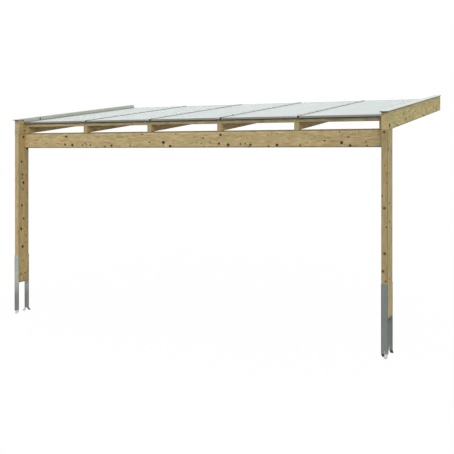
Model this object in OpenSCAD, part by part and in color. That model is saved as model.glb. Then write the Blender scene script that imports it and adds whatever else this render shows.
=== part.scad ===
// Lean-to patio cover: laminated timber frame, twin-wall sheet roof, two posts on steel anchors.
// Millimetres. +Z up, -Y away from the house wall. The origin is the centre of the wall
// beam's back face, which lies on the wall.

/* [Overall] */
// Distance between neighbouring rafters, centre to centre
bay = 1070; // [600:10:1300]
// From the wall to the front faces of the posts
depth = 3020; // [1500:10:5000]
// Pitch of the roof, in degrees
pitch = 7.1; // [4:0.1:15]
// Clear height from the posts' feet to the underside of the front beam
head_h = 1972; // [1500:1:2600]

/* [Posts and front beam] */
// Width of a post, seen from the front
post_w = 78; // [50:1:160]
// Depth of a post, from front to back
post_d = 210; // [150:1:300]
// Thickness of the front beam, which is flush with the backs of the posts
beam_t = 73; // [40:1:120]
// Height of the front beam's front face
beam_h = 213; // [120:1:300]

/* [Rafters] */
// Width of an inner rafter
rafter_w = 60; // [40:1:100]
// Height of an inner rafter, square to the roof
rafter_h = 155; // [100:1:220]
// Height of a side rafter, square to the roof
side_h = 213; // [190:1:300]
// How far the side rafters' undersides lie below those of the inner rafters
side_drop = 4; // [0:1:20]
// Height of the boards that close the front between the rafters
board_h = 60; // [30:1:90]
// Thickness of these boards
board_t = 24; // [16:1:45]
// Width of the eased long edges of all timbers
edge = 3; // [1:0.5:6]

/* [Wall beam] */
// Height of the wall beam's back face
wall_beam_h = 180; // [170:1:260]
// Thickness of the wall beam
wall_beam_t = 60; // [40:1:100]
// Thickness of the rafter hangers' steel
hanger_t = 2; // [1.5:0.5:4]
// Length of a rafter that lies in its hanger
hanger_d = 60; // [40:1:80]
// Height of a hanger's sides
hanger_h = 100; // [60:1:120]
// Width of a hanger's flanges on the wall beam
hanger_flange = 35; // [20:1:50]

/* [Roof sheets] */
// Thickness of the twin-wall sheets
sheet_t = 16; // [10:1:32]
// Thickness of a sheet's upper and lower skins
skin_t = 1.2; // [0.6:0.1:2]
// Thickness of the webs between the skins
web_t = 1; // [0.6:0.1:2]
// Distance between neighbouring webs, rounded so that a sheet holds whole chambers
web_pitch = 20; // [10:1:40]
// Gap between neighbouring sheets over a rafter
sheet_gap = 12; // [6:1:20]
// How far the roof's front edge lies behind the front faces of the posts
eaves_setback = 100; // [40:1:125]
// Gap between the sheets' top ends and the wall
wall_gap = 6; // [2:1:20]

/* [Aluminium trim] */
// Thickness of the sheet metal of caps and front profiles
metal_t = 2; // [1:0.5:3]
// Depth of the front profile's top flange
profile_flange = 45; // [20:1:80]
// Length of the drip lip below the front profile
drip = 2; // [2:0.5:12]
// Gap between neighbouring front profiles
profile_gap = 8; // [2:1:20]
// Width of a cover strip
strip_w = 54; // [40:1:80]
// Thickness of a cover strip at its edges
strip_edge_t = 2.5; // [1.5:0.5:4]
// Extra thickness of a cover strip along its middle
strip_crown = 1.5; // [0:0.5:4]
// Height of a cover strip's bent-down front end
strip_lip = 26; // [10:1:40]
// Height of the rubber seals under strips and caps
seal_h = 4; // [3.5:0.5:8]
// Width of a rubber seal
seal_w = 7; // [4:1:12]
// Gap between the side rafters' faces and a cap's legs
cap_overhang = 8; // [3:1:20]
// Height of the caps' lips, from the side rafters' tops to the caps' tops
cap_lip = 15; // [8:1:40]
// How far the caps reach beyond the front ends of the side rafters
cap_nose = 25; // [5:1:60]
// Width of the caps' feet on the sheets
cap_foot = 22; // [15:1:40]
// Distance from a cap's front end to the joint between its two lengths
cap_joint = 475; // [200:5:1200]
// Gap at this joint
cap_joint_gap = 4; // [0.5:0.5:6]

/* [Post anchors] */
// Thickness of the anchors' steel
anchor_t = 5; // [4:0.5:10]
// Width of an anchor's side plates
anchor_w = 80; // [50:1:160]
// How far the side plates reach up the post
anchor_grip = 394; // [150:1:600]
// Length of the side plates below the post, down to the bend of the tongues
anchor_leg = 411; // [200:1:600]
// Length of the tongues that are spread in the concrete
tongue_l = 60; // [30:1:100]
// Angle of the tongues to the side plates, in degrees
tongue_a = 45; // [20:1:60]
// Width of the slot between an anchor's two tongues
tongue_slot = 3; // [2:1:8]
// How far this slot runs up the side plates above the bend
slot_h = 40; // [10:1:100]

/* [Hidden] */

bays = 5;
rise = tan(pitch);
plumb = 1 / cos(pitch);

// Widths, measured from the middle of the roof
end_rafter_x = bays * bay / 2;
side_inner_x = end_rafter_x + rafter_w / 2;
side_outer_x = side_inner_x + post_w;

// Places along the roof: the wall is at 0 and the front is negative
front_y = -depth;
post_back_y = front_y + post_d;
beam_front_y = post_back_y - beam_t;
eaves_y = front_y + eaves_setback;
wall_beam_front_y = -wall_beam_t;

// Heights of the rafters' tops and undersides, and of the side rafters, at a place y
function roof_z(y) = wall_beam_h / 2 + y * rise;
function under_z(y) = roof_z(y) - rafter_h * plumb;
function side_under_z(y) = under_z(y) - side_drop;

beam_top_z = under_z(beam_front_y);
beam_bottom_z = beam_top_z - beam_h;
foot_z = beam_bottom_z - head_h;

// Lengths up the roof slope, from the eaves
sheet_end = (-wall_gap - eaves_y) * plumb;
strip_bottom = sheet_t + seal_h;

// A length beyond both ends of the roof, from which pieces are cut plumb
roof_reach = depth * plumb + side_h;

// The top of a side rafter above the rafters' tops, and the top of the cap on it
side_top = side_h - rafter_h - side_drop / plumb;
cap_top = side_top + cap_lip;

// Inner faces of a side cap's lips, the edge of its foot and its front end
cap_leg_x = side_inner_x - cap_overhang;
cap_lip_x = side_outer_x + cap_overhang;
cap_foot_x = cap_leg_x - metal_t - cap_foot;
cap_front_y = front_y - cap_nose;

timber = [0.70, 0.58, 0.38];
timber_dark = [0.62, 0.50, 0.31];
steel = [0.52, 0.54, 0.53];
aluminium = [0.66, 0.67, 0.68];
polycarbonate = [0.86, 0.91, 0.90, 0.75];
rubber_black = [0.08, 0.08, 0.08];

// x of rafter number i, counted from 0 at the left
function rafter_x(i) = i * bay - end_rafter_x;

// A shape drawn in Y and Z, stretched in X from x0 to x1
module across(x0, x1) {
    translate([x0, 0, 0])
    rotate([90, 0, 90])
    linear_extrude(height = x1 - x0)
    children();
}

// Side view of a bar that follows the roof, plumb at both ends,
// between the heights low and high above the rafters' tops, square to the roof
module slope_side(y0, y1, low, high) {
    polygon([
        [y0, roof_z(y0) + low * plumb],
        [y1, roof_z(y1) + low * plumb],
        [y1, roof_z(y1) + high * plumb],
        [y0, roof_z(y0) + high * plumb]]);
}

// The roof's own frame: X across, Y up the slope from the eaves, Z square to the rafters' tops
module on_roof() {
    translate([0, eaves_y, roof_z(eaves_y)])
    rotate([pitch, 0, 0])
    children();
}

// A section drawn across the roof, in X and square to the slope, stretched up the slope
// from the distances near to far, measured from the eaves
module up_slope(near, far) {
    on_roof()
    translate([0, far, 0])
    rotate([90, 0, 0])
    linear_extrude(height = far - near)
    children();
}

// The corners of a convex outline, each cut off at the width of an eased edge
function eased(corners) = [
    for (i = [0 : len(corners) - 1], step = [-1, 1])
        let (run = corners[(i + step + len(corners)) % len(corners)] - corners[i])
        corners[i] + edge * run / norm(run)];

function rectangle(x0, x1, y0, y1) = [[x0, y0], [x1, y0], [x1, y1], [x0, y1]];

// A timber along the roof with eased long edges and plumb ends
module roof_timber(x0, x1, y0, y1, low, high) {
    color(timber)
    intersection() {
        across(x0, x1)
        slope_side(y0, y1, low, high);
        up_slope(-roof_reach, roof_reach)
        polygon(eased(rectangle(x0, x1, low, high)));
    }
}

// The bevelled top lies under the side rafter
module post() {
    color(timber)
    intersection() {
        across(side_inner_x, side_outer_x)
        polygon([
            [front_y, foot_z],
            [post_back_y, foot_z],
            [post_back_y, side_under_z(post_back_y)],
            [front_y, side_under_z(front_y)]]);
        translate([0, 0, foot_z])
        linear_extrude(height = side_under_z(post_back_y) - foot_z)
        polygon(eased(rectangle(side_inner_x, side_outer_x, front_y, post_back_y)));
    }
}

module left_post() { mirror([1, 0, 0]) post(); }
module right_post() { post(); }

// The slotted foot of a side plate in side view, with its tongue leaning by lean degrees
module anchor_tongue(y, lean) {
    pivot = lean > 0 ? 0 : anchor_t;
    translate([y, foot_z - anchor_leg]) {
        square([anchor_t, slot_h]);
        translate([pivot, 0])
        rotate(lean)
        translate([-pivot, -tongue_l])
        square([anchor_t, tongue_l]);
    }
}

// An H-shaped anchor: two side plates, a web under the post and four spread tongues.
// At each plate the left tongue leans under the post and the right one away from it.
module post_anchor(x) {
    x0 = x - anchor_w / 2;
    x1 = x + anchor_w / 2;
    plate_front_y = front_y - anchor_t;
    color(steel) {
        across(x0, x - tongue_slot / 2) {
            anchor_tongue(plate_front_y, tongue_a);
            anchor_tongue(post_back_y, -tongue_a);
        }
        across(x + tongue_slot / 2, x1) {
            anchor_tongue(plate_front_y, -tongue_a);
            anchor_tongue(post_back_y, tongue_a);
        }
        across(x0, x1) {
            for (y = [plate_front_y, post_back_y])
                translate([y, foot_z - anchor_leg + slot_h])
                square([anchor_t, anchor_leg - slot_h + anchor_grip]);
            translate([front_y, foot_z - anchor_t])
            square([post_d, anchor_t]);
        }
    }
}

module left_post_anchor() { post_anchor(-side_inner_x - post_w / 2); }
module right_post_anchor() { post_anchor(side_inner_x + post_w / 2); }

module side_rafter() {
    roof_timber(side_inner_x, side_outer_x, front_y, 0, side_top - side_h, side_top);
}

module left_side_rafter() { mirror([1, 0, 0]) side_rafter(); }
module right_side_rafter() { side_rafter(); }

// The beam's top follows the roof, so the rafters lie flat on it
module front_beam() {
    color(timber)
    across(-side_inner_x, side_inner_x)
    polygon(eased([
        [beam_front_y, beam_bottom_z],
        [post_back_y, beam_bottom_z],
        [post_back_y, under_z(post_back_y)],
        [beam_front_y, beam_top_z]]));
}

module wall_beam() {
    color(timber_dark)
    across(-side_inner_x, side_inner_x)
    polygon(eased([
        [wall_beam_front_y, roof_z(0) - wall_beam_h],
        [0, roof_z(0) - wall_beam_h],
        [0, roof_z(0)],
        [wall_beam_front_y, roof_z(wall_beam_front_y)]]));
}

module rafter(i) {
    x = rafter_x(i);
    roof_timber(x - rafter_w / 2, x + rafter_w / 2, beam_front_y, wall_beam_front_y,
        -rafter_h, 0);
}

module front_board(i) {
    board_back_y = beam_front_y + board_t;
    board_bottom_z = roof_z(beam_front_y) - board_h;
    color(timber)
    across(rafter_x(i) + rafter_w / 2, rafter_x(i + 1) - rafter_w / 2)
    polygon(eased([
        [beam_front_y, board_bottom_z],
        [board_back_y, board_bottom_z],
        [board_back_y, roof_z(board_back_y)],
        [beam_front_y, roof_z(beam_front_y)]]));
}

// Left edge of sheet i; the two outermost edges lie beside the side rafters
function sheet_x(i) = i == 0 ? -side_inner_x + cap_overhang / 2
    : i == bays ? side_inner_x - cap_overhang / 2 + sheet_gap
    : rafter_x(i) + sheet_gap / 2;

// Two skins joined by upright webs, which leave chambers open at both ends
module sheet_section(width) {
    chambers = round((width - web_t) / web_pitch);
    step = (width - web_t) / chambers;
    difference() {
        square([width, sheet_t]);
        for (k = [0 : chambers - 1])
            translate([k * step + web_t, skin_t])
            square([step - web_t, sheet_t - 2 * skin_t]);
    }
}

module roof_sheet(i) {
    color(polycarbonate)
    up_slope(metal_t, sheet_end)
    translate([sheet_x(i), 0])
    sheet_section(sheet_x(i + 1) - sheet_gap - sheet_x(i));
}

// A U-shaped profile round the sheets' lower ends, with a drip lip at its foot
module front_profile(i) {
    overhang = (beam_front_y - eaves_y) * plumb;
    x0 = i == 0 ? sheet_x(0) : rafter_x(i) + profile_gap / 2;
    x1 = i == bays - 1 ? sheet_x(bays) - sheet_gap : rafter_x(i + 1) - profile_gap / 2;
    color(aluminium)
    on_roof()
    across(x0, x1)
    polygon([
        [0, -metal_t - drip],
        [metal_t, -metal_t - drip],
        [metal_t, -metal_t],
        [overhang - 2 * metal_t, -metal_t],
        [overhang - 2 * metal_t, 0],
        [metal_t, 0],
        [metal_t, sheet_t],
        [profile_flange, sheet_t],
        [profile_flange, sheet_t + metal_t],
        [0, sheet_t + metal_t]]);
}

// A cover strip with a shallow crown. Its front end is bent down over the joint of two profiles.
module cover_strip(i) {
    x = rafter_x(i);
    color(aluminium) {
        up_slope(-metal_t, sheet_end)
        translate([x, strip_bottom])
        polygon([
            [-strip_w / 2, 0],
            [strip_w / 2, 0],
            [strip_w / 2, strip_edge_t],
            [strip_w / 4, strip_edge_t + strip_crown],
            [-strip_w / 4, strip_edge_t + strip_crown],
            [-strip_w / 2, strip_edge_t]]);
        on_roof()
        across(x - strip_w / 2, x + strip_w / 2)
        translate([-metal_t, strip_bottom + strip_edge_t - strip_lip])
        square([metal_t, strip_lip]);
    }
}

// A rubber seal on the sheets, from the eaves to their top ends, thinner on the front profile
module seal(x) {
    on_roof()
    across(x, x + seal_w)
    polygon([
        [0, sheet_t + metal_t],
        [profile_flange, sheet_t + metal_t],
        [profile_flange, sheet_t],
        [sheet_end, sheet_t],
        [sheet_end, strip_bottom],
        [0, strip_bottom]]);
}

module strip_seals() {
    color(rubber_black)
    for (i = [1 : bays - 1]) {
        seal(rafter_x(i) - strip_w / 2);
        seal(rafter_x(i) + strip_w / 2 - seal_w);
    }
}

// The caps' feet lie on seals on the sheets, and their tops on two more on each side rafter
module cap_seals_of_one_side() {
    seal(cap_foot_x);
    for (x = [side_inner_x + edge, side_outer_x - edge - seal_w])
        across(x, x + seal_w)
        slope_side(front_y, 0, side_top, cap_top - metal_t);
}

module cap_seals() {
    color(rubber_black) {
        cap_seals_of_one_side();
        mirror([1, 0, 0]) cap_seals_of_one_side();
    }
}

// The right side cap's sections, in X and square to the roof: its top between two lips,
// and the leg with a foot on the sheets that goes on below the inner lip
module cap_top_section() {
    polygon([
        [cap_leg_x - metal_t, side_top],
        [cap_leg_x, side_top],
        [cap_leg_x, cap_top - metal_t],
        [cap_lip_x, cap_top - metal_t],
        [cap_lip_x, side_top],
        [cap_lip_x + metal_t, side_top],
        [cap_lip_x + metal_t, cap_top],
        [cap_leg_x - metal_t, cap_top]]);
}

module cap_leg_section() {
    polygon([
        [cap_foot_x, strip_bottom],
        [cap_leg_x, strip_bottom],
        [cap_leg_x, side_top],
        [cap_leg_x - metal_t, side_top],
        [cap_leg_x - metal_t, strip_bottom + metal_t],
        [cap_foot_x, strip_bottom + metal_t]]);
}

// One length of a side cap, cut plumb at y0 and y1. Its leg starts at the eaves.
module cap_length(y0, y1) {
    intersection() {
        union() {
            up_slope(-roof_reach, roof_reach)
            cap_top_section();
            up_slope(0, roof_reach)
            cap_leg_section();
        }
        translate([0, y0, -depth])
        cube([2 * side_outer_x, y1 - y0, 2 * depth]);
    }
}

// The plate that closes a cap's front end between its lips
module cap_end() {
    across(cap_leg_x, cap_lip_x)
    slope_side(cap_front_y, cap_front_y + metal_t, side_top, cap_top - metal_t);
}

module side_cap() {
    joint_y = cap_front_y + cap_joint;
    color(aluminium) {
        cap_length(cap_front_y, joint_y);
        cap_end();
        cap_length(joint_y + cap_joint_gap, 0);
    }
}

module left_side_cap() { mirror([1, 0, 0]) side_cap(); }
module right_side_cap() { side_cap(); }

// A steel hanger that carries the top end of one rafter on the wall beam
module rafter_hanger(x) {
    outer = rafter_w / 2 + hanger_t;
    y0 = wall_beam_front_y - hanger_d;
    y1 = wall_beam_front_y;
    across(x - outer, x + outer)
    slope_side(y0, y1, -rafter_h - hanger_t, -rafter_h);
    for (side = [-1, 1])
        across(x + (side < 0 ? -outer : rafter_w / 2), x + (side < 0 ? -rafter_w / 2 : outer))
        slope_side(y0, y1, -rafter_h - hanger_t, hanger_h - rafter_h);
    for (side = [-1, 1])
        across(x + (side < 0 ? -outer - hanger_flange : outer),
            x + (side < 0 ? -outer : outer + hanger_flange))
        slope_side(y1 - hanger_t, y1, -rafter_h, hanger_h - rafter_h);
}

module rafter_hangers() {
    color(steel)
    for (i = [1 : bays - 1]) rafter_hanger(rafter_x(i));
}

left_post();
right_post();
left_post_anchor();
right_post_anchor();
left_side_rafter();
right_side_rafter();
front_beam();
wall_beam();
rafter(0);  // rafter_1
rafter(1);  // rafter_2
rafter(2);  // rafter_3
rafter(3);  // rafter_4
rafter(4);  // rafter_5
rafter(5);  // rafter_6
front_board(0);  // front_board_1
front_board(1);  // front_board_2
front_board(2);  // front_board_3
front_board(3);  // front_board_4
front_board(4);  // front_board_5
roof_sheet(0);  // roof_sheet_1
roof_sheet(1);  // roof_sheet_2
roof_sheet(2);  // roof_sheet_3
roof_sheet(3);  // roof_sheet_4
roof_sheet(4);  // roof_sheet_5
cover_strip(1);  // cover_strip_1
cover_strip(2);  // cover_strip_2
cover_strip(3);  // cover_strip_3
cover_strip(4);  // cover_strip_4
left_side_cap();
right_side_cap();
front_profile(0);  // front_profile_1
front_profile(1);  // front_profile_2
front_profile(2);  // front_profile_3
front_profile(3);  // front_profile_4
front_profile(4);  // front_profile_5
strip_seals();
cap_seals();
rafter_hangers();
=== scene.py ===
"""Looks for the lean-to patio cover: timber, zinc, aluminium, sheets, screws, light and camera.

Metres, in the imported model's frame: +Z up, -Y out from the house wall, +X to the right.
"""
import math
import random

import bmesh
import bpy
from mathutils import Matrix, Vector


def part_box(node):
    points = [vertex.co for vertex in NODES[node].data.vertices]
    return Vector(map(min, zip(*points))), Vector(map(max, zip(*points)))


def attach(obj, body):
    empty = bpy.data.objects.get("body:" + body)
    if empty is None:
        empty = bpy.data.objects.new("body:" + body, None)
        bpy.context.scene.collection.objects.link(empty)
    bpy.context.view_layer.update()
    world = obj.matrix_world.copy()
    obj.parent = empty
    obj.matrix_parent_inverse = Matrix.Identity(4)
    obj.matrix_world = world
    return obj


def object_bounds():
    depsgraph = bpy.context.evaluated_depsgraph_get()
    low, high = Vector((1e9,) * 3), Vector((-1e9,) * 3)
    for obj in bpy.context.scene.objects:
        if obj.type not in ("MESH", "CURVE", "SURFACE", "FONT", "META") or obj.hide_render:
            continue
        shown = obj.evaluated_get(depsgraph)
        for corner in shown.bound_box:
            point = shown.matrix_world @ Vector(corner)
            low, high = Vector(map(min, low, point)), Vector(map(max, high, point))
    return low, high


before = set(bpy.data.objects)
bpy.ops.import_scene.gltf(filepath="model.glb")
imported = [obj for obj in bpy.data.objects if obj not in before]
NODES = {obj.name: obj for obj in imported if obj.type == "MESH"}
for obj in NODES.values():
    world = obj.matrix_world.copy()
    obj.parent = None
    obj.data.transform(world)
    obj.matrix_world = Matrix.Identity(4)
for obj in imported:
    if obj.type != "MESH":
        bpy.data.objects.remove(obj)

cad_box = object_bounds()
X, Y, Z = Vector((1, 0, 0)), Vector((0, 1, 0)), Vector((0, 0, 1))

# ---------------------------------------------------------------- places taken from the frame


def numbered(prefix, count):
    """The names of a row of nodes, from the left to the right."""
    return [f"{prefix}_{i + 1}" for i in range(count)]


RAFTERS = numbered("rafter", 6)
BOARDS = numbered("front_board", 5)
SHEETS = numbered("roof_sheet", 5)
STRIPS = numbered("cover_strip", 4)
PROFILES = numbered("front_profile", 5)
POSTS = ["left_post", "right_post"]
ANCHORS = ["left_post_anchor", "right_post_anchor"]
SIDE_RAFTERS = ["left_side_rafter", "right_side_rafter"]
CAPS = ["left_side_cap", "right_side_cap"]
BEAMS = ["front_beam", "wall_beam"]
TIMBERS = POSTS + BEAMS + SIDE_RAFTERS + RAFTERS + BOARDS    # a timber's place sets its grain
NEAR = 0.001             # points this close count as lying in one plane


def top_line(node):
    """The highest points of a sloping bar at its front and back ends."""
    points = [v.co for v in NODES[node].data.vertices]
    low_y, high_y = min(p.y for p in points), max(p.y for p in points)
    front = max((p for p in points if p.y < low_y + NEAR), key=lambda p: p.z)
    back = max((p for p in points if p.y > high_y - NEAR), key=lambda p: p.z)
    return Vector(front), Vector(back)


rafter_front, rafter_back = top_line("rafter_1")
PITCH = math.atan2(rafter_back.z - rafter_front.z, rafter_back.y - rafter_front.y)
UP_ROOF = Vector((0, math.cos(PITCH), math.sin(PITCH)))
OFF_ROOF = Vector((0, -math.sin(PITCH), math.cos(PITCH)))
GROUND_Z = cad_box[0].z

# ---------------------------------------------------------------- material helpers


class Tree:
    """A node tree with short calls for adding and joining nodes."""

    def __init__(self, tree):
        self.tree = tree

    def add(self, kind, inputs=(), **settings):
        """A new node with its settings, and a value or another node's output in each input."""
        node = self.tree.nodes.new(kind)
        for name, value in settings.items():
            setattr(node, name, value)
        for key, value in dict(inputs).items():
            self.put(node.inputs[key], value)
        return node

    def put(self, socket, value):
        if isinstance(value, bpy.types.NodeSocket):
            self.tree.links.new(value, socket)
        else:
            socket.default_value = value

    def math(self, operation, a, b=0.0, c=0.0):
        return self.add("ShaderNodeMath", {0: a, 1: b, 2: c}, operation=operation).outputs[0]

    def vector(self, operation, a, b=(0, 0, 0)):
        node = self.add("ShaderNodeVectorMath", {0: a, 1: b}, operation=operation)
        number = operation in ("DOT_PRODUCT", "DISTANCE")
        return node.outputs["Value" if number else "Vector"]

    def place(self):
        """The point of the surface, in the frame's metres."""
        return self.add("ShaderNodeTexCoord").outputs["Object"]

    def normal(self):
        return self.add("ShaderNodeNewGeometry").outputs["Normal"]

    def along(self, point, axis):
        """How far a point or a normal reaches along an axis."""
        return self.vector("DOT_PRODUCT", point, tuple(axis))

    def apart(self, a, b):
        """The distance between two numbers."""
        return self.math("ABSOLUTE", self.math("SUBTRACT", a, b))

    def combine(self, x=0.0, y=0.0, z=0.0):
        return self.add("ShaderNodeCombineXYZ", {0: x, 1: y, 2: z}).outputs[0]

    def split(self, colour):
        return self.add("ShaderNodeSeparateColor", {"Color": colour}).outputs

    def noise(self, vector, scale, detail=2.0, roughness=0.5):
        node = self.add("ShaderNodeTexNoise", {
            "Vector": vector, "Scale": scale, "Detail": detail, "Roughness": roughness})
        return node.outputs["Fac"]

    def smooth(self, value, low, high, to_low=0.0, to_high=1.0):
        """Eases from to_low to to_high as the value goes from low to high."""
        node = self.add("ShaderNodeMapRange", {
            "Value": value, "From Min": low, "From Max": high,
            "To Min": to_low, "To Max": to_high}, interpolation_type="SMOOTHSTEP")
        return node.outputs["Result"]

    def mix(self, factor, a, b, blend="MIX"):
        """Colour a at a factor of 0, or colour b blended over it at 1."""
        node = self.add("ShaderNodeMix", data_type="RGBA", blend_type=blend)
        node.clamp_factor = True
        self.put(node.inputs["Factor"], factor)
        colours = [s for s in node.inputs if s.type == "RGBA"]
        for socket, value in zip(colours, (a, b)):
            if not isinstance(value, bpy.types.NodeSocket):
                value = (*value, 1.0)
            self.put(socket, value)
        return next(s for s in node.outputs if s.type == "RGBA")

    def between(self, factor, a, b):
        """Shader a at a factor of 0 and shader b at 1."""
        return self.add("ShaderNodeMixShader", {0: factor, 1: a, 2: b}).outputs[0]

    def bump(self, height, strength, distance):
        node = self.add("ShaderNodeBump", {
            "Height": height, "Strength": strength, "Distance": distance})
        return node.outputs["Normal"]


def new_material(name):
    """A fresh material, its tree and its Principled shader."""
    material = bpy.data.materials.new(name)
    material.use_nodes = True
    tree = Tree(material.node_tree)
    shader = next(n for n in material.node_tree.nodes if n.type == "BSDF_PRINCIPLED")
    return material, tree, shader


def emptied(owner):
    """The tree of a world or a material, without its first nodes."""
    owner.use_nodes = True
    owner.node_tree.nodes.clear()
    return Tree(owner.node_tree)


def srgb(*values):
    """A colour as seen, 0 to 255, to linear light."""
    return tuple((v / 255 / 12.92) if v <= 10 else ((v / 255 + 0.055) / 1.055) ** 2.4
                 for v in values)


def paint(node, material):
    """Gives a CAD node its material."""
    slots = NODES[node].data.materials
    slots.clear()
    slots.append(material)


# ---------------------------------------------------------------- timber

PALE = srgb(208, 192, 151)
HONEY = srgb(178, 158, 117)
LATE_WOOD = srgb(138, 112, 72)
BROWN = srgb(146, 112, 74)
TREATED = srgb(150, 149, 104)
KNOT = srgb(12, 8, 5)
KNOT_RING = srgb(104, 76, 42)
# the next three are painted shade: partly grime along the arrises and the lower edge, shade alone
# below the upper edge
ARRIS_DIRT_AND_SHADE = srgb(92, 76, 44)
TOP_EDGE_SHADE = srgb(52, 42, 24)
DRIP_DIRT_AND_SHADE = srgb(84, 74, 48)
RING = 0.0042            # width of one year's growth
AWAY = 40.0              # added to a reach across the grain, which keeps layer numbers above 0
GLUE_EDGE = 0.0012       # from a glue line's middle to where its dark begins
GLUE_CORE = 0.0003       # and to where it is full

# The larger knots: x, y and z from a timber's low corner, and radius, all in mm
KNOTS = {
    "front_beam": [
        (400, 0, 65, 6), (605, 0, 65, 6), (740, 0, 50, 12), (760, 0, 165, 13),
        (870, 0, 40, 15), (1050, 0, 40, 9), (1115, 0, 45, 7), (1190, 0, 40, 10),
        (1440, 0, 15, 11), (1550, 0, 30, 12), (1860, 0, 30, 8), (2175, 0, 75, 8),
        (2390, 0, 30, 6), (2395, 0, 70, 17), (2500, 0, 18, 15), (2690, 0, 70, 5),
        (2905, 0, 65, 6), (3010, 0, 12, 8), (3665, 0, 8, 9), (3935, 0, 15, 10),
        (2975, 0, 55, 6), (3105, 0, 65, 7), (3235, 0, 50, 13), (3260, 0, 165, 13),
        (3370, 0, 35, 15), (3545, 0, 45, 9), (3610, 0, 50, 8), (3685, 0, 35, 12),
        (4050, 0, 30, 14), (4055, 0, 175, 5), (4360, 0, 25, 9),
        (4675, 0, 80, 8), (4865, 0, 185, 7), (4890, 0, 55, 15), (4995, 0, 20, 13),
        (5100, 0, 185, 5), (5190, 0, 65, 6), (5205, 0, 20, 7)],
    "left_post": [
        (78, 40, 115, 11), (78, 50, 780, 15), (78, 55, 1770, 13), (78, 65, 1125, 15),
        (78, 70, 1525, 10), (78, 80, 515, 17), (78, 80, 1580, 13), (78, 90, 1365, 9),
        (78, 95, 1460, 16), (78, 100, 305, 8), (78, 100, 930, 12), (78, 100, 2135, 14),
        (78, 130, 125, 9), (78, 175, 1975, 19)],
    "right_post": [
        (7, 0, 1407, 11), (19, 0, 542, 14), (35, 0, 2145, 14), (37, 0, 1269, 14),
        (40, 0, 745, 14), (52, 0, 427, 10), (78, 60, 1321, 13), (40, 0, 1760, 5), (60, 0, 1050, 8),
        (65, 0, 1560, 6), (65, 0, 1670, 6), (78, 75, 1110, 13), (78, 90, 445, 12)],
    "right_side_rafter": [
        (78, 70, 60, 20), (78, 450, 75, 12), (78, 760, 225, 11), (78, 865, 170, 17),
        (78, 1880, 250, 16), (78, 2750, 380, 18)],
}


def scattered_knots(t, u, v, w, cells_u, cells_v, small, large, kept):
    """Knots as scattered spots: a mask of their cores and one of the halo round each.

    There is a place for one knot in each cell, and kept is the share that has one. Small and
    large are the knots' least and greatest radius, in cells.
    """
    spot = t.combine(t.math("MULTIPLY", u, cells_u), t.math("MULTIPLY", v, cells_v),
                     t.math("MULTIPLY", w, cells_v))
    cells = t.add("ShaderNodeTexVoronoi", {"Vector": spot, "Scale": 1.0, "Randomness": 1.0})
    own = t.split(cells.outputs["Color"])
    wobble = t.noise(spot, 5.0, 2.0)
    far = t.math("ADD", cells.outputs["Distance"], t.math("MULTIPLY_ADD", wobble, 0.08, -0.04))
    edge = t.math("SUBTRACT", far, t.math("MULTIPLY_ADD", own[0], large - small, small))
    there = t.math("LESS_THAN", own[1], kept)
    core = t.math("MULTIPLY", t.smooth(edge, -0.02, 0.02, 1.0, 0.0), there)
    halo = t.math("MULTIPLY", t.smooth(edge, 0.0, 0.16, 1.0, 0.0), there)
    return core, halo


def placed_knots(t, place, name):
    """A mask of the cores of a timber's larger knots and one of the halo round each."""
    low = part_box(name)[0]
    nearest = 9.0            # in a knot's radii, and so beyond every halo
    for x, y, z, radius in KNOTS[name]:
        at = (low.x + x / 1000, low.y + y / 1000, low.z + z / 1000)
        far = t.math("DIVIDE", t.vector("DISTANCE", place, at), radius / 1000)
        nearest = t.math("MINIMUM", nearest, far)
    wobble = t.noise(place, 90.0, 2.0)
    nearest = t.math("ADD", nearest, t.math("MULTIPLY_ADD", wobble, 0.8, -0.4))
    return t.smooth(nearest, 0.92, 1.22, 1.0, 0.0), t.smooth(nearest, 1.0, 2.2, 1.0, 0.0)


def knots(t, name, place, u, v, w, loose_knots, pin_knots):
    """Masks of the cores and of the halos of all of a timber's knots, large and small."""
    core, halo = scattered_knots(t, u, v, w, 10.0, 17.0, 0.04, 0.17, loose_knots)
    pins, pin_halo = scattered_knots(t, u, v, w, 23.0, 34.0, 0.05, 0.15, pin_knots)
    core = t.math("MAXIMUM", core, pins)
    halo = t.math("MAXIMUM", halo, t.math("MULTIPLY", pin_halo, 0.5))
    if name in KNOTS:
        big, big_halo = placed_knots(t, place, name)
        core, halo = t.math("MAXIMUM", core, big), t.math("MAXIMUM", halo, big_halo)
    return core, halo


def grain(t, u, v, w, along_scale, across_scale, detail, roughness):
    """Noise that is drawn out along the grain."""
    return t.noise(t.combine(t.math("MULTIPLY", u, along_scale),
                             t.math("MULTIPLY", v, across_scale),
                             t.math("MULTIPLY", w, across_scale)), 1.0, detail, roughness)


def late_wood(t, u, v, w, layer, own, halo):
    """The dark parts of the growth rings, round a pith that wanders outside the board."""
    drift = t.noise(t.combine(t.math("MULTIPLY", u, 0.9), t.math("MULTIPLY", layer, 3.7), 0.0),
                    1.0, 1.0)
    pith_v = t.math("MULTIPLY_ADD", own[1], 0.10, t.math("MULTIPLY_ADD", drift, 0.05, -0.09))
    pith_w = t.math("MULTIPLY_ADD", own[2], 0.10, -0.05)
    local_v = t.math("SUBTRACT", t.math("ADD", v, pith_v), t.math("MULTIPLY", halo, 0.006))
    local_w = t.math("ADD", w, t.math("ADD", pith_w, t.math("MULTIPLY", halo, 0.004)))
    centre = t.math("SQRT", t.math("ADD", t.math("MULTIPLY", local_v, local_v),
                                   t.math("MULTIPLY", local_w, local_w)))
    waver = grain(t, u, v, w, 2.2, 14.0, 2.0, 0.5)
    ring = t.math("FRACT", t.math("ADD", t.math("DIVIDE", centre, RING),
                                  t.math("MULTIPLY", waver, 4.0)))
    late = t.smooth(ring, 0.45, 0.92)
    return t.math("MULTIPLY", late, t.smooth(ring, 1.0, 0.94))


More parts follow.
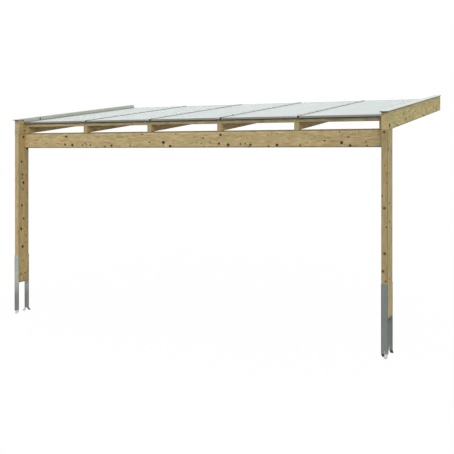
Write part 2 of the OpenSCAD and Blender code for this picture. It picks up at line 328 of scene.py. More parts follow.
def toned(t, name, place, normal, colour, own, tone, front, right_end_light):
    """A colour in the tones of its lamella and its timber, with painted light and shade on the
    faces that look forward or back, and a painted falloff of light from end to end.
    """
    shade = t.math("MULTIPLY_ADD", own[0], 0.12, 0.94)
    warm = t.math("MULTIPLY_ADD", own[1], 0.06, 0.97)
    levels = (shade, t.math("MULTIPLY", shade, warm),
              t.math("MULTIPLY", shade, t.math("MULTIPLY", warm, warm)))
    own_tone = t.combine(*(t.math("MULTIPLY", a, b) for a, b in zip(levels, tone)))
    colour = t.mix(1.0, colour, own_tone, "MULTIPLY")
    # painted light and shade: faces that look forward or back get a brightness of their own
    if front != (1, 1, 1):
        forward = t.math("ABSOLUTE", t.along(normal, Y))
        painted_face_light = t.mix(t.smooth(forward, 0.5, 0.85), (1, 1, 1), front)
        colour = t.mix(1.0, colour, painted_face_light, "MULTIPLY")
    # painted shade: darker towards the right end, as the light falls off
    if right_end_light != 1.0:
        low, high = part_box(name)
        dim = t.smooth(t.along(place, X), low.x - 1.0, high.x + 1.0, 1.0, right_end_light)
        colour = t.mix(1.0, colour, t.combine(dim, dim, dim), "MULTIPLY")
    return colour


def edge_shade_and_grime(t, name, place, colour, top_shade, drip_and_shade):
    """Painted shade along a timber's upper edge, and grime with painted shade along the lower one,
    where rain drips.
    """
    low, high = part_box(name)
    z = t.along(place, Z)
    if top_shade:
        # painted shade just below the upper edge
        depth = t.math("SUBTRACT", high.z, z)
        colour = t.mix(t.smooth(depth, 0.016, 0.026, top_shade, 0.0), colour, TOP_EDGE_SHADE)
    if drip_and_shade:
        # grime and painted shade just above the lower edge
        rise = t.math("SUBTRACT", z, low.z)
        colour = t.mix(t.smooth(rise, 0.010, 0.018, drip_and_shade, 0.0), colour, DRIP_DIRT_AND_SHADE)
    return colour


def arris_distance(t, name, reaches):
    """How far a point lies from the nearest long arris.

    reaches pairs each axis across the grain with how far the point reaches along it.
    """
    corners = [v.co for v in NODES[name].data.vertices]
    inset = []
    for axis, reach in reaches:
        first, last = min(c.dot(axis) for c in corners), max(c.dot(axis) for c in corners)
        inset.append(t.math("MINIMUM", t.math("SUBTRACT", reach, first),
                            t.math("SUBTRACT", last, reach)))
    return t.math("MAXIMUM", *inset)


def timber_material(name, along, across, lamella, tone, front=(1, 1, 1), tint=0.4, right_end_light=1.0,
                    loose_knots=0.4, pin_knots=0.30, top_shade=0.0, drip_and_shade=0.0):
    """Softwood with its grain along one direction, laminated across another.

    lamella is the thickness of a layer and the shift that starts one at the timber's edge.
    front is the painted light and shade on the faces that look forward or back, against that of
    the others, and right_end_light is painted shade: how bright the right end is against the left
    one. tint, top_shade and drip_and_shade are the shares of the green treatment, of the painted
    shade along the upper edge and of the grime and painted shade along the lower one, and
    loose_knots and pin_knots those of the places that have a knot.
    """
    material, t, shader = new_material(name)
    thick = along.cross(across)
    place, normal = t.place(), t.normal()
    u, v, w = (t.along(place, axis) for axis in (along, across, thick))
    seed = TIMBERS.index(name) + 1
    rng = random.Random(seed)
    shift = [rng.uniform(3, 30) for _ in range(3)]

    # each lamella is a board of its own: u runs along its grain, v through it, w across it
    layers = t.math("DIVIDE", t.math("ADD", v, AWAY + lamella[1]), lamella[0])
    layer = t.math("FLOOR", layers)
    chance = t.add("ShaderNodeTexWhiteNoise", {"W": t.math("ADD", layer, seed * 1.37)},
                   noise_dimensions="1D")
    own = t.split(chance.outputs["Color"])
    u = t.math("ADD", u, t.math("MULTIPLY_ADD", own[0], 17.0, shift[0]))
    core, halo = knots(t, name, place, u, t.math("ADD", v, shift[1]),
                       t.math("ADD", w, shift[2]), loose_knots, pin_knots)

    # growth rings, fibres, streaks and blotches of the treatment, and drying checks
    late = late_wood(t, u, v, w, layer, own, halo)
    fibre = grain(t, u, v, w, 6.0, 420.0, 3.0, 0.6)
    streak = grain(t, u, v, w, 9.0, 34.0, 4.0, 0.6)
    blotch = grain(t, u, v, w, 7.0, 24.0, 4.0, 0.6)
    stain = grain(t, u, v, w, 3.0, 9.0, 4.0, 0.6)
    crack = t.smooth(grain(t, u, v, w, 1.7, 90.0, 2.0, 0.4), 0.74, 0.78)
    colour = t.mix(t.smooth(streak, 0.28, 0.72, 0.0, 0.95), PALE, HONEY)
    colour = t.mix(t.math("MULTIPLY", late, 0.26), colour, LATE_WOOD)
    colour = t.mix(t.smooth(fibre, 0.52, 0.74, 0.0, 0.28), colour, LATE_WOOD)
    colour = t.mix(t.smooth(blotch, 0.50, 0.68, 0.0, 0.62), colour, BROWN)
    colour = t.mix(t.smooth(stain, 0.40, 0.64, 0.10, 0.10 + 0.75 * tint), colour, TREATED)

    # painted light and shade on the front faces and a painted falloff from end to end, then knots
    # and checks keep their own colours
    colour = toned(t, name, place, normal, colour, own, tone, front, right_end_light)
    colour = t.mix(t.math("MULTIPLY", halo, 0.55), colour, KNOT_RING)
    colour = t.mix(core, colour, KNOT)
    colour = t.mix(t.math("MULTIPLY", crack, 0.6), colour, KNOT_RING)

    # glue lines between the lamellas
    seam = t.math("MULTIPLY", t.apart(t.math("FRACT", layers), 0.5), lamella[0])
    glue = t.smooth(seam, lamella[0] / 2 - GLUE_EDGE, lamella[0] / 2 - GLUE_CORE)
    colour = t.mix(t.math("MULTIPLY", glue, 0.35), colour, LATE_WOOD)

    # painted shade along the upper edge, grime and painted shade along the lower edge and the
    # arrises, and darker sawn ends
    colour = edge_shade_and_grime(t, name, place, colour, top_shade, drip_and_shade)
    # grime and painted shade along the long arrises
    arris = arris_distance(t, name, ((across, v), (thick, w)))
    arris = t.math("ADD", arris, t.math("MULTIPLY", stain, 0.008))
    colour = t.mix(t.smooth(arris, 0.006, 0.014, 0.55, 0.0), colour, ARRIS_DIRT_AND_SHADE)
    end = t.smooth(t.math("ABSOLUTE", t.along(normal, along)), 0.8, 0.95)
    colour = t.mix(t.math("MULTIPLY", end, 0.4), colour, LATE_WOOD)

    raised = t.math("MULTIPLY_ADD", fibre, 0.5, t.math("MULTIPLY", late, 0.25))
    sunk = t.math("MULTIPLY", t.math("ADD", crack, glue), 0.6)
    t.put(shader.inputs["Base Color"], colour)
    t.put(shader.inputs["Roughness"], t.smooth(fibre, 0.2, 0.8, 0.62, 0.82))
    t.put(shader.inputs["Normal"], t.bump(t.math("SUBTRACT", raised, sunk), 0.35, 0.0006))
    shader.inputs["Specular IOR Level"].default_value = 0.30
    return material


def lamellas(node, across, count):
    """Thickness of a laminated timber's layers and the shift that starts one at its edge."""
    low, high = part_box(node)
    start, end = low.dot(across), high.dot(across)
    thickness = (end - start) / count
    return thickness, -(start + AWAY) % thickness


def round_edges(node, width):
    """Softens the CAD's eased edges a little more, without moving a face."""
    bevel = NODES[node].modifiers.new("soft edges", "BEVEL")
    bevel.width = width
    bevel.segments = 2
    bevel.limit_method = "ANGLE"
    bevel.angle_limit = math.radians(30)
    bevel.harden_normals = False


# How the timbers differ from the palette, and the painted light and shade of their front faces
# against the others
TONES_AND_FRONT_LIGHT = {
    "left_post": ((0.82, 0.74, 0.60), (1.47, 1.57, 1.93)),
    "right_post": ((0.72, 0.71, 0.63), (1.07, 1.07, 1.09)),
    "front_beam": ((1.0, 0.98, 0.93), (1, 1, 1)),
    "wall_beam": ((0.95, 0.93, 0.87), (1, 1, 1)),
    "left_side_rafter": ((0.89, 0.80, 0.71), (1.22, 1.52, 1.80)),
    "right_side_rafter": ((0.81, 0.83, 0.67), (1.30, 1.32, 1.54)),
}
RAFTER_TONE = (0.96, 0.81, 0.62)
# painted light and shade on each rafter's front face
RAFTER_FRONT_LIGHT = [(0.95, 1.09, 1.22), (0.95, 1.24, 1.66), (0.93, 1.15, 1.54), (0.82, 0.95, 1.33),
                 (0.87, 1.14, 1.33), (0.82, 0.88, 1.09)]
# painted shade: the boards are darker from left to right, as the light falls off
BOARD_FALLOFF_SHADE = [(0.91, 0.89, 0.84), (0.80, 0.79, 0.74), (0.70, 0.70, 0.65), (0.66, 0.69, 0.66),
               (0.64, 0.71, 0.70)]
LAYERS = 5                         # lamellas of a post or a beam
SIDE_LAMELLA = (0.0426, 0.011)     # of a side rafter, as timber_material takes it
RAFTER_LAMELLA = (0.4, 0.1)        # so thick that it holds a whole rafter
BOARD_LAMELLA = (0.4, 0.13)        # and a whole board
SOFT_EDGE = 0.0009                 # width of the bevel on the timbers


def dress_timbers():
    """Gives each timber a material of its own and softens its arrises."""
    looks = {}
    for post in POSTS:
        looks[post] = timber_material(post, Z, Y, lamellas(post, Y, LAYERS), *TONES_AND_FRONT_LIGHT[post],
                                      tint=0.45, drip_and_shade=0.5)
    # painted shade: the front beam is darker towards its right end
    for beam, right_end_light in zip(BEAMS, (0.88, 1.0)):
        looks[beam] = timber_material(beam, X, Z, lamellas(beam, Z, LAYERS), *TONES_AND_FRONT_LIGHT[beam],
                                      tint=0.45, right_end_light=right_end_light, loose_knots=0.15, top_shade=0.55,
                                      drip_and_shade=0.5)
    for side, pin_knots in zip(SIDE_RAFTERS, (0.30, 0.18)):
        looks[side] = timber_material(side, UP_ROOF, OFF_ROOF, SIDE_LAMELLA, *TONES_AND_FRONT_LIGHT[side],
                                      tint=0.75, pin_knots=pin_knots)
    for rafter, front in zip(RAFTERS, RAFTER_FRONT_LIGHT):
        looks[rafter] = timber_material(rafter, UP_ROOF, OFF_ROOF, RAFTER_LAMELLA,
                                        RAFTER_TONE, front)
    for board, tone in zip(BOARDS, BOARD_FALLOFF_SHADE):
        looks[board] = timber_material(board, X, Z, BOARD_LAMELLA, tone, loose_knots=0.05,
                                       pin_knots=0.10, top_shade=0.78)
    for node, material in looks.items():
        paint(node, material)
        round_edges(node, SOFT_EDGE)


# ---------------------------------------------------------------- metal, sheets and rubber

LEFT_ZINC = srgb(126, 129, 127)
# painted reflection that lightens the left anchor beside the post
LEFT_ZINC_HIGHLIGHT = srgb(178, 183, 172)
RIGHT_ZINC = srgb(120, 126, 122)
ZINC_CRYSTAL = srgb(96, 101, 99)
ZINC_PATCH = srgb(98, 104, 102)
ZINC_RUN = srgb(170, 174, 170)
# darker along the anchors' long edges, then the painted light and painted shade of their tongues
ZINC_EDGE_DARK = srgb(64, 68, 66)
PAINTED_LIT_TONGUE = srgb(192, 195, 196)
PAINTED_SHADED_TONGUE = srgb(26, 28, 26)
# painted reflection on the caps' tops and rims, and painted shade on their lips, also used at
# their joint
CAP_RIM_REFLECTION = srgb(206, 213, 211)
CAP_LIP_SHADE_AND_JOINT = srgb(50, 52, 48)
# painted shade in the lines along the strips and caps
PAINTED_LINE_SHADE = srgb(52, 52, 44)
TONGUES = 0.06           # from the anchors' lowest points up to where their tongues begin
CAP_FOOT = 0.020         # from the rafters' tops up to the caps' feet
CAP_JOINT = 0.484        # from the caps' front ends back to the dirt at their joint
CAP_SKIN = 0.003         # the caps' outer faces lie this close to their box
CAP_RIM_DEPTH = 0.007    # how far down the lips their painted reflection reaches


def anchor_edges_and_tongue_light(t, place, colour, anchor):
    """An anchor's colour: darker along its long edges, with painted light on its tongues' upward
    faces and painted shade on their downward ones.
    """
    low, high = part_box(anchor)
    middle, half = (low.x + high.x) / 2, (high.x - low.x) / 2
    edge = t.apart(t.apart(t.along(place, X), middle), half)
    colour = t.mix(t.smooth(edge, 0.005, 0.010, 0.40, 0.0), colour, ZINC_EDGE_DARK)
    normal = t.normal()
    # painted light on tongue faces that look up, painted shade on those that look down
    tilt = t.math("MULTIPLY", t.along(normal, Z), t.math("ABSOLUTE", t.along(normal, Y)))
    rise = t.math("SUBTRACT", t.along(place, Z), low.z)
    tongue = t.smooth(rise, TONGUES, TONGUES + 0.01, 1.0, 0.0)
    pale = t.math("MULTIPLY", t.smooth(tilt, 0.2, 0.3), tongue)
    dark = t.math("MULTIPLY", t.smooth(tilt, -0.3, -0.2, 1.0, 0.0), tongue)
    return t.mix(dark, t.mix(pale, colour, PAINTED_LIT_TONGUE), PAINTED_SHADED_TONGUE)


def zinc_material(name, level, highlight_level, anchor):
    """Hot-dip zinc: crystals of slightly different greys, of another level beside the post, where
    a reflection is painted.
    """
    material, t, shader = new_material(name)
    place = t.place()
    crystals = t.add("ShaderNodeTexVoronoi", {"Vector": place, "Scale": 85.0})
    flake = t.split(crystals.outputs["Color"])[0]
    patch = t.noise(place, 7.0, 4.0, 0.6)
    run = t.noise(t.vector("MULTIPLY", place, (60, 60, 3)), 1.0, 2.0)
    web_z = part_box("left_post")[0].z
    # painted reflection: another level beside the post
    high = t.smooth(t.along(place, Z), web_z - 0.25, web_z + 0.05)
    grey = t.mix(high, level, highlight_level)
    colour = t.mix(t.math("MULTIPLY", flake, 0.30), grey, ZINC_CRYSTAL)
    colour = t.mix(t.smooth(patch, 0.45, 0.75, 0.0, 0.25), colour, ZINC_PATCH)
    colour = t.mix(t.smooth(run, 0.55, 0.8, 0.0, 0.2), colour, ZINC_RUN)
    t.put(shader.inputs["Base Color"], anchor_edges_and_tongue_light(t, place, colour, anchor))
    t.put(shader.inputs["Roughness"], t.math("MULTIPLY_ADD", flake, 0.14, 0.42))
    t.put(shader.inputs["Normal"], t.bump(t.math("ADD", flake, patch), 0.10, 0.0004))
    shader.inputs["Metallic"].default_value = 0.5
    return material


def cap_light_and_joint(t, place, height, colour, side_x, front_y, rim, joint_y):
    """A cap's look: painted shade on the lips below the rim, a painted reflection on the top and
    the rim, and a dirty joint.

    The lips' outer faces lie beyond side_x, left or right, and in front of front_y. rim is
    a distance off the roof, as height is.
    """
    y = t.along(place, Y)
    outer = t.math("MAXIMUM",
                   t.math("GREATER_THAN", t.math("ABSOLUTE", t.along(place, X)), side_x),
                   t.math("LESS_THAN", y, front_y))
    above = t.smooth(height, rim - 0.001, rim + 0.001)
    # painted reflection on faces that look up and on the lips above the rim, painted shade on the
    # lips below it
    painted_bright = t.math("MAXIMUM", t.smooth(t.along(t.normal(), Z), 0.6, 0.8),
                  t.math("MULTIPLY", outer, above))
    colour = t.mix(painted_bright, t.mix(outer, colour, CAP_LIP_SHADE_AND_JOINT), CAP_RIM_REFLECTION)
    below = t.smooth(height, rim - 0.006, rim - 0.001, 1.0, 0.2)
    darkness = t.math("MULTIPLY", t.smooth(t.apart(y, joint_y), 0.010, 0.014, 0.85, 0.0), below)
    return t.mix(darkness, colour, CAP_LIP_SHADE_AND_JOINT)


def aluminium_material(name, light, dark, along, rough, shade_lines=(), cap=None):
    """Satin aluminium with fine drawing lines and faint water marks.

    shade_lines are lines of painted shade along the profile: from one distance off the roof to
    another, and how dark. cap holds the places that cap_light_and_joint needs.
    """
    material, t, shader = new_material(name)
    place = t.place()
    side = along.cross(Z).normalized()
    lines = t.noise(t.combine(t.math("MULTIPLY", t.along(place, along), 2.0),
                              t.math("MULTIPLY", t.along(place, side), 500.0),
                              t.math("MULTIPLY", t.along(place, along.cross(side)), 500.0)),
                    1.0, 2.0)
    patch = t.noise(place, 5.0, 3.0, 0.6)
    colour = t.mix(t.smooth(lines, 0.3, 0.7), dark, light)
    colour = t.mix(t.smooth(patch, 0.45, 0.7, 0.0, 0.35), colour, dark)
    height = t.along(place, OFF_ROOF)
    # painted shade in lines along the profile
    for bottom, top, darkness in shade_lines:
        middle, half = (bottom + top) / 2, (top - bottom) / 2
        shade_band = t.smooth(t.apart(height, middle), half - 0.002, half + 0.002, darkness, 0.0)
        colour = t.mix(shade_band, colour, PAINTED_LINE_SHADE)
    if cap:
        colour = cap_light_and_joint(t, place, height, colour, *cap)
    t.put(shader.inputs["Base Color"], colour)
    t.put(shader.inputs["Roughness"], t.smooth(patch, 0.3, 0.7, rough, rough + 0.10))
    t.put(shader.inputs["Normal"], t.bump(lines, 0.03, 0.0001))
    shader.inputs["Metallic"].default_value = 0.7
    return material


def sheet_material():
    """Pale clear-opal plastic; the chambers of the sheets are real and show through it."""
    material, t, shader = new_material("polycarbonate")
    place = t.place()
    haze = t.noise(t.vector("MULTIPLY", place, (3, 0.7, 0.7)), 1.0, 2.0)
    rain = t.noise(t.vector("MULTIPLY", place, (14, 1.5, 1.5)), 1.0, 3.0, 0.6)
    colour = t.mix(haze, srgb(228, 237, 236), srgb(236, 244, 243))
    colour = t.mix(t.smooth(rain, 0.5, 0.8, 0.0, 0.3), colour, srgb(210, 222, 219))
    t.put(shader.inputs["Base Color"], colour)
    t.put(shader.inputs["Roughness"], t.smooth(rain, 0.3, 0.8, 0.30, 0.40))
    shader.inputs["IOR"].default_value = 1.58
    shader.inputs["Alpha"].default_value = 0.45
    return material


def rubber_material():
    """Matt black rubber with a fine grain."""
    material, t, shader = new_material("rubber")
    place = t.place()
    dots = t.noise(place, 220.0, 3.0)
    colour = t.mix(t.smooth(dots, 0.35, 0.7), srgb(30, 31, 31), srgb(48, 50, 49))
    t.put(shader.inputs["Base Color"], colour)
    t.put(shader.inputs["Normal"], t.bump(dots, 0.1, 0.0003))
    shader.inputs["Roughness"].default_value = 0.75
    return material


def steel_material():
    """Stainless steel of the screws, dulled a little by weather."""
    material, t, shader = new_material("screw_steel")
    place = t.place()
    patch = t.noise(place, 90.0, 3.0, 0.6)
    t.put(shader.inputs["Base Color"], t.mix(patch, srgb(148, 150, 150), srgb(186, 188, 187)))
    t.put(shader.inputs["Roughness"], t.smooth(patch, 0.3, 0.7, 0.25, 0.42))
    shader.inputs["Metallic"].default_value = 0.9
    return material


def strip_material():
    """The cover strips' aluminium, with a line of painted shade along their feet."""
    foot = min(v.co.dot(OFF_ROOF) for v in NODES[STRIPS[0]].data.vertices)
    return aluminium_material("strip_aluminium", srgb(180, 182, 182), srgb(160, 163, 163),
                              UP_ROOF, 0.25, [(foot - 0.003, foot + 0.008, 0.9)])


def cap_material():
    """The side caps' aluminium, with lines of painted shade: a faint one below their rims and one
    over their feet.
    """
    low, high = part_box("right_side_cap")
    top = max(v.co.dot(OFF_ROOF) for v in NODES["right_side_cap"].data.vertices)
    foot = rafter_front.dot(OFF_ROOF) + CAP_FOOT
    lines = [(top - 0.030, top - 0.018, 0.16), (foot - 0.006, foot + 0.010, 0.42)]
    # the places of the caps' painted light and shade, and of their joint
    cap_light_places = (high.x - CAP_SKIN, low.y + CAP_SKIN, top - CAP_RIM_DEPTH, low.y + CAP_JOINT)
    return aluminium_material("cap_aluminium", srgb(192, 193, 178), srgb(175, 176, 162),
                              UP_ROOF, 0.35, lines, cap_light_places)


def dress_metal_and_sheets():
    """Paints the remaining CAD nodes and returns the materials that the small pieces share."""
    left = zinc_material("left_zinc", LEFT_ZINC, LEFT_ZINC_HIGHLIGHT, ANCHORS[0])
    right = zinc_material("right_zinc", RIGHT_ZINC, RIGHT_ZINC, ANCHORS[1])
    strips, rubber = strip_material(), rubber_material()
    profiles = aluminium_material("profile_aluminium", srgb(143, 142, 137),
                                  srgb(125, 125, 120), X, 0.32)
    for nodes, material in ((ANCHORS[:1], left), (ANCHORS[1:] + ["rafter_hangers"], right),
                            (STRIPS, strips), (CAPS, cap_material()), (PROFILES, profiles),
                            (SHEETS, sheet_material()), (["strip_seals", "cap_seals"], rubber)):
        for node in nodes:
            paint(node, material)
    return left, right, strips, rubber, steel_material()


# ---------------------------------------------------------------- screws, nails, welds, tape


def up_roof(p):
    """How far up the slope a point lies from the rafters' front ends."""
    return (Vector(p) - rafter_front).dot(UP_ROOF)


def off_roof(p):
    """How far a point lies off the plane of the rafters' tops."""
    return (Vector(p) - rafter_front).dot(OFF_ROOF)


def up_at(y):
    """How far up the slope the rafters' tops reach a depth."""
    return (y - rafter_front.y) / UP_ROOF.y


def on_roof(x, up, off):
    """A point at x, up the slope from the rafters' front ends and off their tops."""
    foot = rafter_front + UP_ROOF * up + OFF_ROOF * off
    return Vector((x, foot.y, foot.z))


def make_piece(name, bm, material, smooth=35):
    """Turns a bmesh into a piece of the cover, smooth over edges of up to so many degrees."""
    mesh = bpy.data.meshes.new(name)
    bmesh.ops.recalc_face_normals(bm, faces=bm.faces)
    bm.to_mesh(mesh)
    bm.free()
    mesh.materials.append(material)
    mesh.shade_smooth()
    mesh.set_sharp_from_angle(angle=math.radians(smooth))
    piece = bpy.data.objects.new(name, mesh)
    bpy.context.scene.collection.objects.link(piece)
    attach(piece, "root")


def spin(bm, outline, at, axis, sides=14, twist=0.0):
    """Turns an outline of (radius, height) points round an axis that stands at a point."""
    turn = Vector(axis).to_track_quat("Z", "Y").to_matrix()
    rings = []
    for radius, height in outline:
        if radius == 0:
            rings.append([bm.verts.new(Vector(at) + turn @ Vector((0, 0, height)))])
            continue
        rings.append([bm.verts.new(Vector(at) + turn @ Vector((
            radius * math.cos(math.tau * k / sides + twist),
            radius * math.sin(math.tau * k / sides + twist), height))) for k in range(sides)])
    for a, b in zip(rings, rings[1:]):
        for k in range(sides):
            n = (k + 1) % sides
            if len(a) == 1:
                bm.faces.new((a[0], b[n], b[k]))
            elif len(b) == 1:
                bm.faces.new((a[k], a[n], b[0]))
            else:
                bm.faces.new((a[k], a[n], b[n], b[k]))


def loft(bm, rings):
    """Joins rings of points by faces and closes both ends."""
    rings = [[bm.verts.new(p) for p in ring] for ring in rings]
    for a, b in zip(rings, rings[1:]):
        for k in range(len(a)):
            n = (k + 1) % len(a)
            bm.faces.new((a[k], a[n], b[n], b[k]))
    bm.faces.new(rings[0])
    bm.faces.new(rings[-1])


# Outlines of (radius, height) for spin
WASHER_SEAL = [(0, 0.0), (0.0072, 0.0), (0.0075, 0.0006), (0.0070, 0.0014), (0, 0.0014)]
WASHER = [(0, 0.0012), (0.0076, 0.0012), (0.0078, 0.0016), (0.0060, 0.0026), (0, 0.0026)]
HEX_HEAD = [(0, 0.0024), (0.0046, 0.0024), (0.0046, 0.0052), (0.0041, 0.0058), (0, 0.0058)]
NAIL_HEAD = [(0, 0.0), (0.0040, 0.0), (0.0042, 0.0004), (0.0036, 0.0010), (0.0018, 0.0013),
             (0, 0.0013)]
SCREW_PITCH = 0.35
SCREW_INSET = 0.1        # from a row's ends to its first and last screw
SCREW_TURN = 0.7         # radians that each head is turned further than the one before
CAP_FOOT_WIDE = 0.005    # a cap's foot is wider than this


def dress_screws(steel, rubber):
    """Screws with sealing washers along the cover strips and along the caps' feet."""
    heads, seals = bmesh.new(), bmesh.new()
    rows = []
    for node in STRIPS:
        low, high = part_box(node)
        top = max(off_roof(v.co) for v in NODES[node].data.vertices)
        rows.append(((low.x + high.x) / 2, top, node))
    for node in CAPS:
        points = [v.co for v in NODES[node].data.vertices]
        inner = min(abs(p.x) for p in points)
        foot = [p for p in points if abs(p.x) < inner + NEAR]
        leg = min(abs(p.x) for p in points if abs(p.x) > inner + CAP_FOOT_WIDE)
        side = 1 if points[0].x > 0 else -1
        rows.append((side * (inner + leg) / 2, max(off_roof(p) for p in foot), node))
    for x, top, node in rows:
        near, far = (up_roof(p) for p in top_line(node))
        near = max(near, up_roof(top_line(STRIPS[0])[0]))
        span = far - near - 2 * SCREW_INSET
        count = round(span / SCREW_PITCH)
        for k in range(count + 1):
            at = on_roof(x, near + SCREW_INSET + span * k / count, top)
            spin(seals, WASHER_SEAL, at, OFF_ROOF)
            spin(heads, WASHER, at, OFF_ROOF)
            spin(heads, HEX_HEAD, at, OFF_ROOF, 6, SCREW_TURN * k)
    make_piece("roof_screws", heads, steel)
    make_piece("roof_screw_washers", seals, rubber)


# black blocks that stand in for the shadow beside each strip's front end: painted shadow
SHADOW_BLOCK_WIDE, SHADOW_BLOCK_DEEP = 0.020, 0.014
SHADOW_BLOCK_PROUD = 0.004       # how far a block stands out in front of its strip
SHADOW_BLOCK_TALLER = 0.002      # how much taller than the strip's lip it is
SHADOW_BLOCK_EDGE = 0.0015       # radius of its edges


def dress_strip_end_shadows(rubber):
    """A black block beside the right edge of each strip's bent-down front end: a painted shadow,
    put where the end casts one.
    """
    bm = bmesh.new()
    for node in STRIPS:
        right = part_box(node)[1].x
        points = [(up_roof(v.co), off_roof(v.co)) for v in NODES[node].data.vertices]
        front = min(up for up, off in points)
        lip = [off for up, off in points if up < front + NEAR]
        height = max(lip) - min(lip) + SHADOW_BLOCK_TALLER
        middle = on_roof(right + SHADOW_BLOCK_WIDE / 2, front + SHADOW_BLOCK_DEEP / 2 - SHADOW_BLOCK_PROUD,
                         max(lip) - height / 2)
        bmesh.ops.create_cube(bm, size=1.0, matrix=Matrix((
            (SHADOW_BLOCK_WIDE, 0, 0, middle.x),
            (0, UP_ROOF.y * SHADOW_BLOCK_DEEP, OFF_ROOF.y * height, middle.y),
            (0, UP_ROOF.z * SHADOW_BLOCK_DEEP, OFF_ROOF.z * height, middle.z),
            (0, 0, 0, 1))))
    bmesh.ops.bevel(bm, geom=list(bm.edges), offset=SHADOW_BLOCK_EDGE, segments=3, affect="EDGES")
    make_piece("strip_end_shadow_blocks", bm, rubber)


HANGER_REACH = 0.1       # a hanger ends nearer to its rafter's middle than this
FLANGE_WIDE = 0.01       # its flanges are wider than this
SIDE_NAILS = ((0.3, 0.22), (0.7, 0.42), (0.3, 0.62), (0.7, 0.82))    # shares of depth, height
FLANGE_NAILS = (0.28, 0.58, 0.86)                                    # shares of height


def dress_hangers(steel):
    """Nails through the hangers' sides and flanges."""
    nails = bmesh.new()
    points = [v.co for v in NODES["rafter_hangers"].data.vertices]
    back_y = max(p.y for p in points)
    for rafter in RAFTERS[1:-1]:
        low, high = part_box(rafter)
        x, half = (low.x + high.x) / 2, (high.x - low.x) / 2
        own = [p for p in points if abs(p.x - x) < HANGER_REACH]
        outer = min(abs(p.x - x) for p in own if abs(p.x - x) > half + NEAR / 2)
        flange = max(abs(p.x - x) for p in own)
        front_y = min(p.y for p in own)
        flange_y = min(p.y for p in own if abs(p.x - x) > outer + FLANGE_WIDE)
        low_off = min(off_roof(p) for p in own)
        high_off = max(off_roof(p) for p in own)
        for side in (-1, 1):
            for across, rise in SIDE_NAILS:
                up = up_at(front_y + (back_y - front_y) * across)
                at = on_roof(x + side * outer, up, low_off + (high_off - low_off) * rise)
                spin(nails, NAIL_HEAD, at, (side, 0, 0), 10)
            for rise in FLANGE_NAILS:
                at = on_roof(x + side * (outer + flange) / 2, up_at(flange_y),
                             low_off + (high_off - low_off) * rise)
                at.y = flange_y
                spin(nails, NAIL_HEAD, at, (0, -1, 0), 10)
    make_piece("hanger_nails", nails, steel)


# A weld bead's section: shares of its size, out from the plate and down from the web
BEAD = ((0, 0), (1, 0), (0.8, 0.3), (0.55, 0.55), (0.3, 0.8), (0, 1))
BEAD_SIZE, BEAD_RIPPLE, BEAD_CHANCE = 0.0048, 0.0006, 0.0003
BEAD_STEPS = 56          # sections along a bead
BEAD_WAVE = 1.9          # radians of its ripple a section
BEAD_INSET = 0.003       # from the web's sides to the bead's ends
BEAD_END = 0.4           # size of the two end sections against the others


def dress_welds(zinc_of):
    """A rippled bead where each anchor's web meets its two side plates."""
    for side, post, anchor in zip(("left", "right"), POSTS, ANCHORS):
        bm = bmesh.new()
        low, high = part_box(anchor)
        post_low, post_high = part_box(post)
        under = post_low.z - (post_low.y - low.y)      # the web is as thick as the plates
        rng = random.Random(side)
        for y, inward in ((post_low.y, 1), (post_high.y, -1)):
            rings = []
            for k in range(BEAD_STEPS + 1):
                x = low.x + BEAD_INSET + (high.x - low.x - 2 * BEAD_INSET) * k / BEAD_STEPS
                size = (BEAD_SIZE + BEAD_RIPPLE * math.cos(k * BEAD_WAVE)
                        + rng.uniform(-BEAD_CHANCE, BEAD_CHANCE))
                if k in (0, BEAD_STEPS):
                    size *= BEAD_END
                rings.append([(x, y + inward * size * a, under - size * b) for a, b in BEAD])
            loft(bm, rings)
        make_piece(f"{side}_anchor_welds", bm, zinc_of[side], 60)


TAPE_THICK = 0.0004
TAPE_REACH = 0.024       # how far the tape reaches down a sheet's top
TAPE_ROUND = 0.4         # where its bend begins and ends, in thicknesses
TAPE_INSET = 0.001       # from a sheet's sides to the tape's


def dress_tape(aluminium):
    """Aluminium tape that closes the chambers at the sheets' top ends."""
    bm = bmesh.new()
    bend = TAPE_THICK * TAPE_ROUND
    for node in SHEETS:
        points = [v.co for v in NODES[node].data.vertices]
        low_x, high_x = min(p.x for p in points), max(p.x for p in points)
        end = max(up_roof(p) for p in points)
        top = max(off_roof(p) for p in points)
        bottom = min(off_roof(p) for p in points)
        outline = [(end - TAPE_REACH, top), (end - TAPE_REACH, top + TAPE_THICK),
                   (end + bend, top + TAPE_THICK), (end + TAPE_THICK, top + bend),
                   (end + TAPE_THICK, bottom), (end, bottom), (end, top)]
        loft(bm, [[on_roof(x, up, off) for up, off in outline]
                  for x in (low_x + TAPE_INSET, high_x - TAPE_INSET)])
    make_piece("sheet_end_tape", bm, aluminium)


# ---------------------------------------------------------------- light, floor and camera

DOME = 1.0               # strength of the even light from all round
KEY = 1.15               # strength of the soft sun from the front
FILL = 0.6               # strength of the softer one from the right
SUN_COLOUR = (1.0, 0.98, 0.95)
FLOOR = 0.30             # how much light the floor throws back
FLOOR_HALF = 60.0        # half its width
FLOOR_GLOW = 1.07        # strength of the white that the camera sees in it
FLOOR_WHITE = 0.9        # share of that white; the rest shows the shadows
LENS = 60.7              # mm, on a sensor 36 mm wide
SHIFT = -0.167           # of the level camera, in sensor widths
CAMERA_PLACE = (5.072, -11.707, -0.685)
CAMERA_TURN = 26.63      # degrees that it is turned to the left


def seen_directly(t):
    """1 for rays from the camera and those through metal or glass, else 0."""
    path = t.add("ShaderNodeLightPath")
    either = t.math("MAXIMUM", path.outputs["Is Camera Ray"], path.outputs["Is Glossy Ray"])
    return t.math("MAXIMUM", either, path.outputs["Is Transmission Ray"])


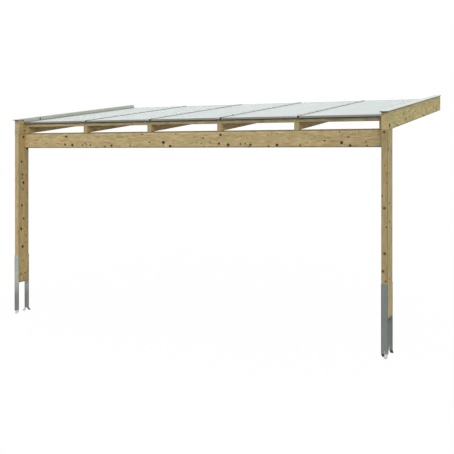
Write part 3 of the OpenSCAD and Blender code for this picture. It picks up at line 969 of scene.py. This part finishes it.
def make_world():
    """A dome that lights evenly and looks white."""
    world = bpy.data.worlds.new("studio")
    bpy.context.scene.world = world
    t = emptied(world)
    lit = t.add("ShaderNodeBackground", {"Color": (1, 1, 1, 1), "Strength": DOME})
    shown = t.add("ShaderNodeBackground", {"Color": (1, 1, 1, 1), "Strength": 1.0})
    surface = t.between(seen_directly(t), lit.outputs[0], shown.outputs[0])
    t.add("ShaderNodeOutputWorld", {"Surface": surface})


def floor_material():
    """Matt, but nearly white as the camera sees it, and clear from below."""
    material = bpy.data.materials.new("floor")
    t = emptied(material)
    matt = t.add("ShaderNodeBsdfDiffuse", {"Color": (FLOOR, FLOOR, FLOOR, 1)})
    white = t.add("ShaderNodeEmission", {"Color": (1, 1, 1, 1), "Strength": FLOOR_GLOW})
    clear = t.add("ShaderNodeBsdfTransparent")
    above = t.between(t.math("MULTIPLY", seen_directly(t), FLOOR_WHITE), matt.outputs[0],
                      white.outputs[0])
    below = t.add("ShaderNodeNewGeometry").outputs["Backfacing"]
    t.add("ShaderNodeOutputMaterial", {"Surface": t.between(below, above, clear.outputs[0])})
    return material


def make_floor():
    """A wide floor under the anchors' lowest points."""
    mesh = bpy.data.meshes.new("floor")
    corners = [(-1, -1), (1, -1), (1, 1), (-1, 1)]
    mesh.from_pydata([(x * FLOOR_HALF, y * FLOOR_HALF, GROUND_Z) for x, y in corners], [],
                     [(0, 1, 2, 3)])
    mesh.materials.append(floor_material())
    floor = bpy.data.objects.new("floor", mesh)
    bpy.context.scene.collection.objects.link(floor)


def make_sun(name, strength, spread, toward):
    """A sun that shines from a direction, as wide in the sky as spread, in degrees."""
    light = bpy.data.lights.new(name, "SUN")
    light.energy = strength
    light.angle = math.radians(spread)
    light.color = SUN_COLOUR
    sun = bpy.data.objects.new(name, light)
    sun.rotation_euler = Vector(toward).to_track_quat("Z", "Y").to_euler()
    bpy.context.scene.collection.objects.link(sun)


def make_camera():
    """A level camera, as the photograph's upright verticals ask."""
    data = bpy.data.cameras.new("camera")
    data.sensor_width = 36.0
    data.lens = LENS
    data.shift_y = SHIFT
    data.clip_start, data.clip_end = 0.1, 200
    camera = bpy.data.objects.new("camera", data)
    camera.location = CAMERA_PLACE
    camera.rotation_euler = (math.radians(90), 0, math.radians(CAMERA_TURN))
    bpy.context.scene.collection.objects.link(camera)
    bpy.context.scene.camera = camera


make_camera()
make_world()
make_floor()
make_sun("key", KEY, 25, (0.4, -0.9, 0.5))
make_sun("fill", FILL, 50, (0.95, -0.15, 0.3))
dress_timbers()
left_zinc, right_zinc, aluminium, rubber, steel = dress_metal_and_sheets()
dress_screws(steel, rubber)
dress_strip_end_shadows(rubber)
dress_hangers(steel)
dress_welds({"left": left_zinc, "right": right_zinc})
dress_tape(aluminium)

bpy.context.scene.view_settings.view_transform = "Standard"
